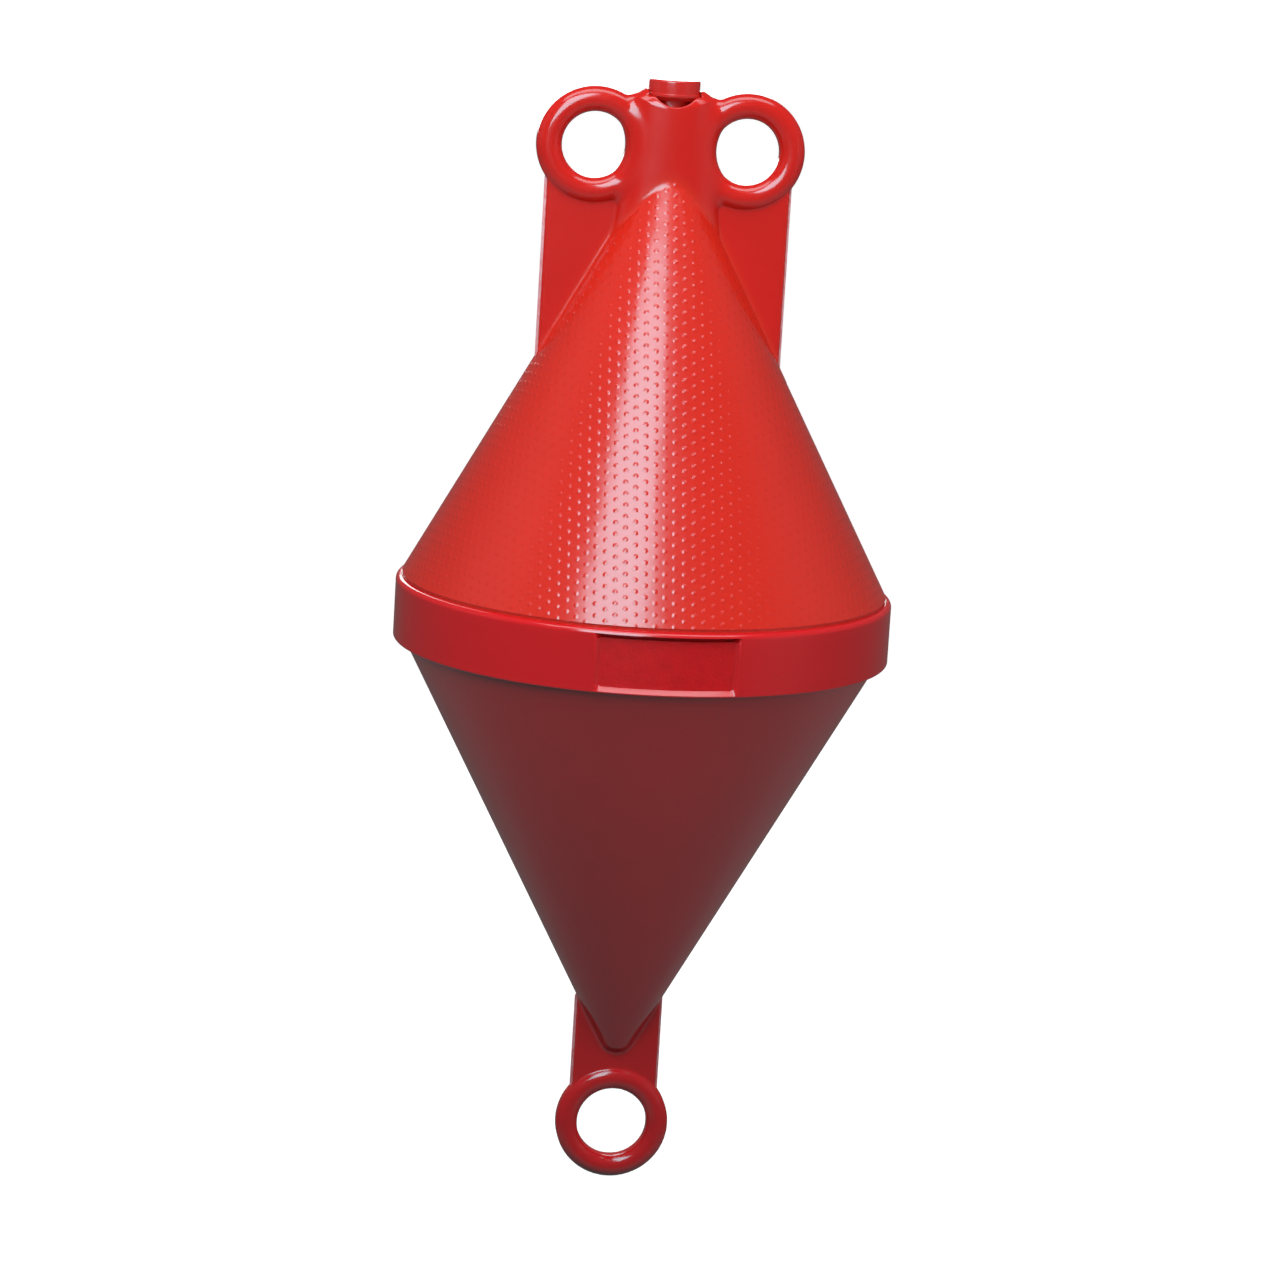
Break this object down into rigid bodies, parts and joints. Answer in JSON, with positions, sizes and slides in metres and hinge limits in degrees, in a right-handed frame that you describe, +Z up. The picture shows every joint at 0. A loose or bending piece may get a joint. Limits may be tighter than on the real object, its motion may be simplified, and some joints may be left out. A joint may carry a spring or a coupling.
{
  "type": "mooring buoy",
  "caption": "Bi-conical mooring buoy of red plastic with a girth band, eyes beside its neck and an eye below.",
  "frame": {"origin": "on the axis at the middle of the girth band, at the waterline", "axes": "+Z up along the axis towards the plug, -Y towards the name panel, X across the top eyes, whose holes run along Y"},
  "size_m": [0.32, 0.32, 0.723],
  "materials": {
    "hull_plastic": "smooth moulded red polyethylene, satin gloss",
    "textured_plastic": "red polyethylene with a fine moulded pattern of small raised dots",
    "panel_plastic": "red polyethylene with a fine matt grain, blank",
    "plug_plastic": "smooth red plastic, slightly duller than the hull"
  },
  "bodies": {
    "root": {"upper_cone": "textured_plastic", "lower_cone": "hull_plastic", "girth_band": "hull_plastic", "name_panel": "panel_plastic", "neck": "hull_plastic", "fin_left": "hull_plastic", "fin_right": "hull_plastic", "tang": "hull_plastic", "eye_left": "hull_plastic", "eye_right": "hull_plastic", "eye_bottom": "hull_plastic", "filler_plug": "plug_plastic"}
  },
  "joints": []
}
